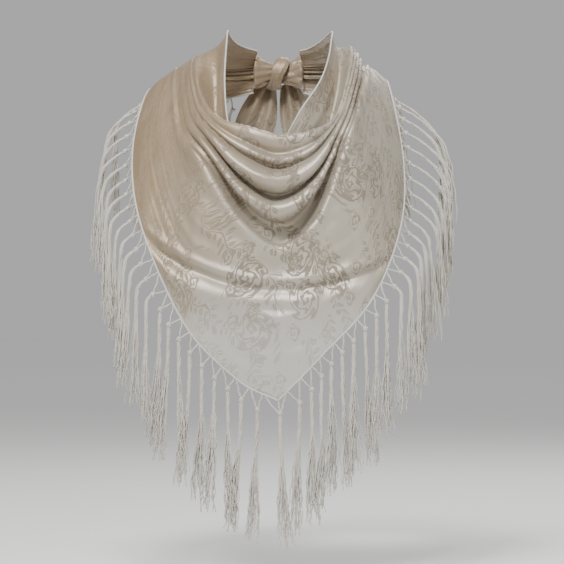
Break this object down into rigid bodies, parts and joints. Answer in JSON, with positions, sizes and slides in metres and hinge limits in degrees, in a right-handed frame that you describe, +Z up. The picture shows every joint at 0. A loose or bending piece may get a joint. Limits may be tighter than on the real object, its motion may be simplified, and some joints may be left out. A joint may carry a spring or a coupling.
{
  "type": "fringed silk shawl",
  "caption": "Triangular silk shawl with a woven rose pattern, worn as a bib with a cowl at the neck, with a knotted silk fringe along both short sides.",
  "frame": {"origin": "middle of the wearer's neck at its base", "axes": "+Z up along the neck, the bib hangs on the -Y side, +X to the right as seen from in front"},
  "size_m": [0.3807, 0.2309, 0.5571],
  "materials": {
    "silk": "satin silk with a woven pattern",
    "hem": "narrow rolled hem of the same silk",
    "thread": "twisted silk thread"
  },
  "bodies": {
    "shawl": {"silk_panel": "silk", "nape_knot": "silk", "left_tail": "silk", "right_tail": "silk", "neck_hem": "hem", "left_hem": "hem", "right_hem": "hem", "left_net": "thread", "right_net": "thread", "left_back_tassels": "thread", "right_back_tassels": "thread"},
    "left_tassel_01": {"left_tassel_01": "thread"},
    "left_tassel_02": {"left_tassel_02": "thread"},
    "left_tassel_03": {"left_tassel_03": "thread"},
    "left_tassel_04": {"left_tassel_04": "thread"},
    "left_tassel_05": {"left_tassel_05": "thread"},
    "left_tassel_06": {"left_tassel_06": "thread"},
    "left_tassel_07": {"left_tassel_07": "thread"},
    "left_tassel_08": {"left_tassel_08": "thread"},
    "left_tassel_09": {"left_tassel_09": "thread"},
    "left_tassel_10": {"left_tassel_10": "thread"},
    "left_tassel_11": {"left_tassel_11": "thread"},
    "left_tassel_12": {"left_tassel_12": "thread"},
    "left_tassel_13": {"left_tassel_13": "thread"},
    "left_tassel_14": {"left_tassel_14": "thread"},
    "left_tassel_15": {"left_tassel_15": "thread"},
    "left_tassel_16": {"left_tassel_16": "thread"},
    "left_tassel_17": {"left_tassel_17": "thread"},
    "left_tassel_18": {"left_tassel_18": "thread"},
    "left_tassel_19": {"left_tassel_19": "thread"},
    "left_tassel_20": {"left_tassel_20": "thread"},
    "left_tassel_21": {"left_tassel_21": "thread"},
    "left_tassel_22": {"left_tassel_22": "thread"},
    "left_tassel_23": {"left_tassel_23": "thread"},
    "left_tassel_24": {"left_tassel_24": "thread"},
    "point_tassel": {"point_tassel": "thread"},
    "right_tassel_01": {"right_tassel_01": "thread"},
    "right_tassel_02": {"right_tassel_02": "thread"},
    "right_tassel_03": {"right_tassel_03": "thread"},
    "right_tassel_04": {"right_tassel_04": "thread"},
    "right_tassel_05": {"right_tassel_05": "thread"},
    "right_tassel_06": {"right_tassel_06": "thread"},
    "right_tassel_07": {"right_tassel_07": "thread"},
    "right_tassel_08": {"right_tassel_08": "thread"},
    "right_tassel_09": {"right_tassel_09": "thread"},
    "right_tassel_10": {"right_tassel_10": "thread"},
    "right_tassel_11": {"right_tassel_11": "thread"},
    "right_tassel_12": {"right_tassel_12": "thread"},
    "right_tassel_13": {"right_tassel_13": "thread"},
    "right_tassel_14": {"right_tassel_14": "thread"},
    "right_tassel_15": {"right_tassel_15": "thread"},
    "right_tassel_16": {"right_tassel_16": "thread"},
    "right_tassel_17": {"right_tassel_17": "thread"},
    "right_tassel_18": {"right_tassel_18": "thread"},
    "right_tassel_19": {"right_tassel_19": "thread"},
    "right_tassel_20": {"right_tassel_20": "thread"},
    "right_tassel_21": {"right_tassel_21": "thread"},
    "right_tassel_22": {"right_tassel_22": "thread"},
    "right_tassel_23": {"right_tassel_23": "thread"},
    "right_tassel_24": {"right_tassel_24": "thread"}
  },
  "joints": [
    {"name": "left_tassel_01_swing", "type": "hinge", "parent": "shawl", "child": "left_tassel_01", "pos_m": [-0.02173, -0.12021, -0.32575], "axis": [-0.984, 0.1779, 0], "range_deg": [0, 35]},
    {"name": "left_tassel_02_swing", "type": "hinge", "parent": "shawl", "child": "left_tassel_02", "pos_m": [-0.03848, -0.11841, -0.31545], "axis": [-0.951, 0.3091, 0], "range_deg": [0, 35]},
    {"name": "left_tassel_03_swing", "type": "hinge", "parent": "shawl", "child": "left_tassel_03", "pos_m": [-0.05274, -0.11766, -0.30413], "axis": [-0.9125, 0.409, 0], "range_deg": [0, 35]},
    {"name": "left_tassel_04_swing", "type": "hinge", "parent": "shawl", "child": "left_tassel_04", "pos_m": [-0.06636, -0.11781, -0.29245], "axis": [-0.8713, 0.4908, 0], "range_deg": [0, 35]},
    {"name": "left_tassel_05_swing", "type": "hinge", "parent": "shawl", "child": "left_tassel_05", "pos_m": [-0.07958, -0.11824, -0.28006], "axis": [-0.8296, 0.5584, 0], "range_deg": [0, 35]},
    {"name": "left_tassel_06_swing", "type": "hinge", "parent": "shawl", "child": "left_tassel_06", "pos_m": [-0.09216, -0.11846, -0.26677], "axis": [-0.7893, 0.614, 0], "range_deg": [0, 35]},
    {"name": "left_tassel_07_swing", "type": "hinge", "parent": "shawl", "child": "left_tassel_07", "pos_m": [-0.10383, -0.11802, -0.2525], "axis": [-0.7508, 0.6605, 0], "range_deg": [0, 35]},
    {"name": "left_tassel_08_swing", "type": "hinge", "parent": "shawl", "child": "left_tassel_08", "pos_m": [-0.11432, -0.1165, -0.23735], "axis": [-0.7138, 0.7004, 0], "range_deg": [0, 35]},
    {"name": "left_tassel_09_swing", "type": "hinge", "parent": "shawl", "child": "left_tassel_09", "pos_m": [-0.12349, -0.11389, -0.22174], "axis": [-0.678, 0.7351, 0], "range_deg": [0, 35]},
    {"name": "left_tassel_10_swing", "type": "hinge", "parent": "shawl", "child": "left_tassel_10", "pos_m": [-0.13154, -0.11023, -0.20592], "axis": [-0.6423, 0.7665, 0], "range_deg": [0, 35]},
    {"name": "left_tassel_11_swing", "type": "hinge", "parent": "shawl", "child": "left_tassel_11", "pos_m": [-0.13859, -0.10548, -0.19007], "axis": [-0.6056, 0.7958, 0], "range_deg": [0, 35]},
    {"name": "left_tassel_12_swing", "type": "hinge", "parent": "shawl", "child": "left_tassel_12", "pos_m": [-0.14468, -0.09963, -0.17433], "axis": [-0.5672, 0.8236, 0], "range_deg": [0, 35]},
    {"name": "left_tassel_13_swing", "type": "hinge", "parent": "shawl", "child": "left_tassel_13", "pos_m": [-0.14981, -0.09269, -0.15887], "axis": [-0.5261, 0.8504, 0], "range_deg": [0, 35]},
    {"name": "left_tassel_14_swing", "type": "hinge", "parent": "shawl", "child": "left_tassel_14", "pos_m": [-0.15395, -0.08466, -0.14389], "axis": [-0.4819, 0.8763, 0], "range_deg": [0, 35]},
    {"name": "left_tassel_15_swing", "type": "hinge", "parent": "shawl", "child": "left_tassel_15", "pos_m": [-0.15734, -0.07568, -0.12935], "axis": [-0.4335, 0.9012, 0], "range_deg": [0, 35]},
    {"name": "left_tassel_16_swing", "type": "hinge", "parent": "shawl", "child": "left_tassel_16", "pos_m": [-0.16013, -0.06602, -0.11485], "axis": [-0.3812, 0.9245, 0], "range_deg": [0, 35]},
    {"name": "left_tassel_17_swing", "type": "hinge", "parent": "shawl", "child": "left_tassel_17", "pos_m": [-0.16223, -0.05605, -0.10009], "axis": [-0.3265, 0.9452, 0], "range_deg": [0, 35]},
    {"name": "left_tassel_18_swing", "type": "hinge", "parent": "shawl", "child": "left_tassel_18", "pos_m": [-0.16361, -0.04626, -0.0848], "axis": [-0.2721, 0.9623, 0], "range_deg": [0, 35]},
    {"name": "left_tassel_19_swing", "type": "hinge", "parent": "shawl", "child": "left_tassel_19", "pos_m": [-0.16435, -0.03719, -0.06884], "axis": [-0.2207, 0.9753, 0], "range_deg": [0, 35]},
    {"name": "left_tassel_20_swing", "type": "hinge", "parent": "shawl", "child": "left_tassel_20", "pos_m": [-0.16451, -0.02923, -0.0523], "axis": [-0.1749, 0.9846, 0], "range_deg": [0, 35]},
    {"name": "left_tassel_21_swing", "type": "hinge", "parent": "shawl", "child": "left_tassel_21", "pos_m": [-0.16333, -0.02166, -0.03623], "axis": [-0.1315, 0.9913, 0], "range_deg": [0, 35]},
    {"name": "left_tassel_22_swing", "type": "hinge", "parent": "shawl", "child": "left_tassel_22", "pos_m": [-0.16058, -0.01339, -0.02132], "axis": [-0.0831, 0.9965, 0], "range_deg": [0, 35]},
    {"name": "left_tassel_23_swing", "type": "hinge", "parent": "shawl", "child": "left_tassel_23", "pos_m": [-0.15595, -0.00385, -0.00884], "axis": [-0.0247, 0.9997, 0], "range_deg": [0, 35]},
    {"name": "left_tassel_24_swing", "type": "hinge", "parent": "shawl", "child": "left_tassel_24", "pos_m": [-0.14982, 0.00635, -0.00125], "axis": [0.0423, 0.9991, 0], "range_deg": [0, 35]},
    {"name": "point_tassel_swing", "type": "hinge", "parent": "shawl", "child": "point_tassel", "pos_m": [0.00205, -0.12186, -0.32979], "axis": [-0.9999, -0.0168, 0], "range_deg": [0, 35]},
    {"name": "right_tassel_01_swing", "type": "hinge", "parent": "shawl", "child": "right_tassel_01", "pos_m": [0.02253, -0.12007, -0.31888], "axis": [-0.9828, -0.1844, 0], "range_deg": [0, 35]},
    {"name": "right_tassel_02_swing", "type": "hinge", "parent": "shawl", "child": "right_tassel_02", "pos_m": [0.03498, -0.11798, -0.3049], "axis": [-0.9587, -0.2843, 0], "range_deg": [0, 35]},
    {"name": "right_tassel_03_swing", "type": "hinge", "parent": "shawl", "child": "right_tassel_03", "pos_m": [0.04546, -0.11706, -0.29118], "axis": [-0.9322, -0.362, 0], "range_deg": [0, 35]},
    {"name": "right_tassel_04_swing", "type": "hinge", "parent": "shawl", "child": "right_tassel_04", "pos_m": [0.0558, -0.11751, -0.27844], "axis": [-0.9033, -0.4289, 0], "range_deg": [0, 35]},
    {"name": "right_tassel_05_swing", "type": "hinge", "parent": "shawl", "child": "right_tassel_05", "pos_m": [0.06694, -0.11852, -0.26637], "axis": [-0.8707, -0.4918, 0], "range_deg": [0, 35]},
    {"name": "right_tassel_06_swing", "type": "hinge", "parent": "shawl", "child": "right_tassel_06", "pos_m": [0.0788, -0.1194, -0.25429], "axis": [-0.8346, -0.5508, 0], "range_deg": [0, 35]},
    {"name": "right_tassel_07_swing", "type": "hinge", "parent": "shawl", "child": "right_tassel_07", "pos_m": [0.09097, -0.11958, -0.24162], "axis": [-0.7959, -0.6054, 0], "range_deg": [0, 35]},
    {"name": "right_tassel_08_swing", "type": "hinge", "parent": "shawl", "child": "right_tassel_08", "pos_m": [0.10286, -0.11825, -0.22784], "axis": [-0.7545, -0.6563, 0], "range_deg": [0, 35]},
    {"name": "right_tassel_09_swing", "type": "hinge", "parent": "shawl", "child": "right_tassel_09", "pos_m": [0.11349, -0.1146, -0.21293], "axis": [-0.7105, -0.7037, 0], "range_deg": [0, 35]},
    {"name": "right_tassel_10_swing", "type": "hinge", "parent": "shawl", "child": "right_tassel_10", "pos_m": [0.12213, -0.10868, -0.19782], "axis": [-0.6647, -0.7471, 0], "range_deg": [0, 35]},
    {"name": "right_tassel_11_swing", "type": "hinge", "parent": "shawl", "child": "right_tassel_11", "pos_m": [0.12892, -0.10078, -0.183], "axis": [-0.6159, -0.7878, 0], "range_deg": [0, 35]},
    {"name": "right_tassel_12_swing", "type": "hinge", "parent": "shawl", "child": "right_tassel_12", "pos_m": [0.13383, -0.09124, -0.1687], "axis": [-0.5633, -0.8262, 0], "range_deg": [0, 35]},
    {"name": "right_tassel_13_swing", "type": "hinge", "parent": "shawl", "child": "right_tassel_13", "pos_m": [0.13694, -0.0807, -0.15498], "axis": [-0.5077, -0.8615, 0], "range_deg": [0, 35]},
    {"name": "right_tassel_14_swing", "type": "hinge", "parent": "shawl", "child": "right_tassel_14", "pos_m": [0.13883, -0.0699, -0.14166], "axis": [-0.4497, -0.8932, 0], "range_deg": [0, 35]},
    {"name": "right_tassel_15_swing", "type": "hinge", "parent": "shawl", "child": "right_tassel_15", "pos_m": [0.14032, -0.05907, -0.12804], "axis": [-0.388, -0.9217, 0], "range_deg": [0, 35]},
    {"name": "right_tassel_16_swing", "type": "hinge", "parent": "shawl", "child": "right_tassel_16", "pos_m": [0.14132, -0.0485, -0.11365], "axis": [-0.3246, -0.9459, 0], "range_deg": [0, 35]},
    {"name": "right_tassel_17_swing", "type": "hinge", "parent": "shawl", "child": "right_tassel_17", "pos_m": [0.14165, -0.03876, -0.09828], "axis": [-0.2639, -0.9645, 0], "range_deg": [0, 35]},
    {"name": "right_tassel_18_swing", "type": "hinge", "parent": "shawl", "child": "right_tassel_18", "pos_m": [0.1414, -0.03042, -0.08199], "axis": [-0.2103, -0.9776, 0], "range_deg": [0, 35]},
    {"name": "right_tassel_19_swing", "type": "hinge", "parent": "shawl", "child": "right_tassel_19", "pos_m": [0.14096, -0.02385, -0.06499], "axis": [-0.1669, -0.986, 0], "range_deg": [0, 35]},
    {"name": "right_tassel_20_swing", "type": "hinge", "parent": "shawl", "child": "right_tassel_20", "pos_m": [0.13996, -0.01872, -0.04814], "axis": [-0.1326, -0.9912, 0], "range_deg": [0, 35]},
    {"name": "right_tassel_21_swing", "type": "hinge", "parent": "shawl", "child": "right_tassel_21", "pos_m": [0.13805, -0.0138, -0.03188], "axis": [-0.0995, -0.995, 0], "range_deg": [0, 35]},
    {"name": "right_tassel_22_swing", "type": "hinge", "parent": "shawl", "child": "right_tassel_22", "pos_m": [0.13511, -0.00817, -0.01662], "axis": [-0.0603, -0.9982, 0], "range_deg": [0, 35]},
    {"name": "right_tassel_23_swing", "type": "hinge", "parent": "shawl", "child": "right_tassel_23", "pos_m": [0.13106, -0.00123, -0.00341], "axis": [-0.0094, -1, 0], "range_deg": [0, 35]},
    {"name": "right_tassel_24_swing", "type": "hinge", "parent": "shawl", "child": "right_tassel_24", "pos_m": [0.12659, 0.00656, 0.00491], "axis": [0.0518, -0.9987, 0], "range_deg": [0, 35]}
  ],
  "couplings": [
    {"joint": "left_tassel_02_swing", "follows": "left_tassel_01_swing", "ratio": 1},
    {"joint": "left_tassel_03_swing", "follows": "left_tassel_01_swing", "ratio": 1},
    {"joint": "left_tassel_04_swing", "follows": "left_tassel_01_swing", "ratio": 1},
    {"joint": "left_tassel_05_swing", "follows": "left_tassel_01_swing", "ratio": 1},
    {"joint": "left_tassel_06_swing", "follows": "left_tassel_01_swing", "ratio": 1},
    {"joint": "left_tassel_07_swing", "follows": "left_tassel_01_swing", "ratio": 1},
    {"joint": "left_tassel_08_swing", "follows": "left_tassel_01_swing", "ratio": 1},
    {"joint": "left_tassel_09_swing", "follows": "left_tassel_01_swing", "ratio": 1},
    {"joint": "left_tassel_10_swing", "follows": "left_tassel_24_swing", "ratio": 1},
    {"joint": "left_tassel_11_swing", "follows": "left_tassel_24_swing", "ratio": 1},
    {"joint": "left_tassel_12_swing", "follows": "left_tassel_24_swing", "ratio": 1},
    {"joint": "left_tassel_13_swing", "follows": "left_tassel_24_swing", "ratio": 1},
    {"joint": "left_tassel_14_swing", "follows": "left_tassel_24_swing", "ratio": 1},
    {"joint": "left_tassel_15_swing", "follows": "left_tassel_24_swing", "ratio": 1},
    {"joint": "left_tassel_16_swing", "follows": "left_tassel_24_swing", "ratio": 1},
    {"joint": "left_tassel_17_swing", "follows": "left_tassel_24_swing", "ratio": 1},
    {"joint": "left_tassel_18_swing", "follows": "left_tassel_24_swing", "ratio": 1},
    {"joint": "left_tassel_19_swing", "follows": "left_tassel_24_swing", "ratio": 1},
    {"joint": "left_tassel_20_swing", "follows": "left_tassel_24_swing", "ratio": 1},
    {"joint": "left_tassel_21_swing", "follows": "left_tassel_24_swing", "ratio": 1},
    {"joint": "left_tassel_22_swing", "follows": "left_tassel_24_swing", "ratio": 1},
    {"joint": "left_tassel_23_swing", "follows": "left_tassel_24_swing", "ratio": 1},
    {"joint": "point_tassel_swing", "follows": "left_tassel_01_swing", "ratio": 1},
    {"joint": "right_tassel_02_swing", "follows": "right_tassel_01_swing", "ratio": 1},
    {"joint": "right_tassel_03_swing", "follows": "right_tassel_01_swing", "ratio": 1},
    {"joint": "right_tassel_04_swing", "follows": "right_tassel_01_swing", "ratio": 1},
    {"joint": "right_tassel_05_swing", "follows": "right_tassel_01_swing", "ratio": 1},
    {"joint": "right_tassel_06_swing", "follows": "right_tassel_01_swing", "ratio": 1},
    {"joint": "right_tassel_07_swing", "follows": "right_tassel_01_swing", "ratio": 1},
    {"joint": "right_tassel_08_swing", "follows": "right_tassel_01_swing", "ratio": 1},
    {"joint": "right_tassel_09_swing", "follows": "right_tassel_01_swing", "ratio": 1},
    {"joint": "right_tassel_10_swing", "follows": "right_tassel_24_swing", "ratio": 1},
    {"joint": "right_tassel_11_swing", "follows": "right_tassel_24_swing", "ratio": 1},
    {"joint": "right_tassel_12_swing", "follows": "right_tassel_24_swing", "ratio": 1},
    {"joint": "right_tassel_13_swing", "follows": "right_tassel_24_swing", "ratio": 1},
    {"joint": "right_tassel_14_swing", "follows": "right_tassel_24_swing", "ratio": 1},
    {"joint": "right_tassel_15_swing", "follows": "right_tassel_24_swing", "ratio": 1},
    {"joint": "right_tassel_16_swing", "follows": "right_tassel_24_swing", "ratio": 1},
    {"joint": "right_tassel_17_swing", "follows": "right_tassel_24_swing", "ratio": 1},
    {"joint": "right_tassel_18_swing", "follows": "right_tassel_24_swing", "ratio": 1},
    {"joint": "right_tassel_19_swing", "follows": "right_tassel_24_swing", "ratio": 1},
    {"joint": "right_tassel_20_swing", "follows": "right_tassel_24_swing", "ratio": 1},
    {"joint": "right_tassel_21_swing", "follows": "right_tassel_24_swing", "ratio": 1},
    {"joint": "right_tassel_22_swing", "follows": "right_tassel_24_swing", "ratio": 1},
    {"joint": "right_tassel_23_swing", "follows": "right_tassel_24_swing", "ratio": 1}
  ]
}
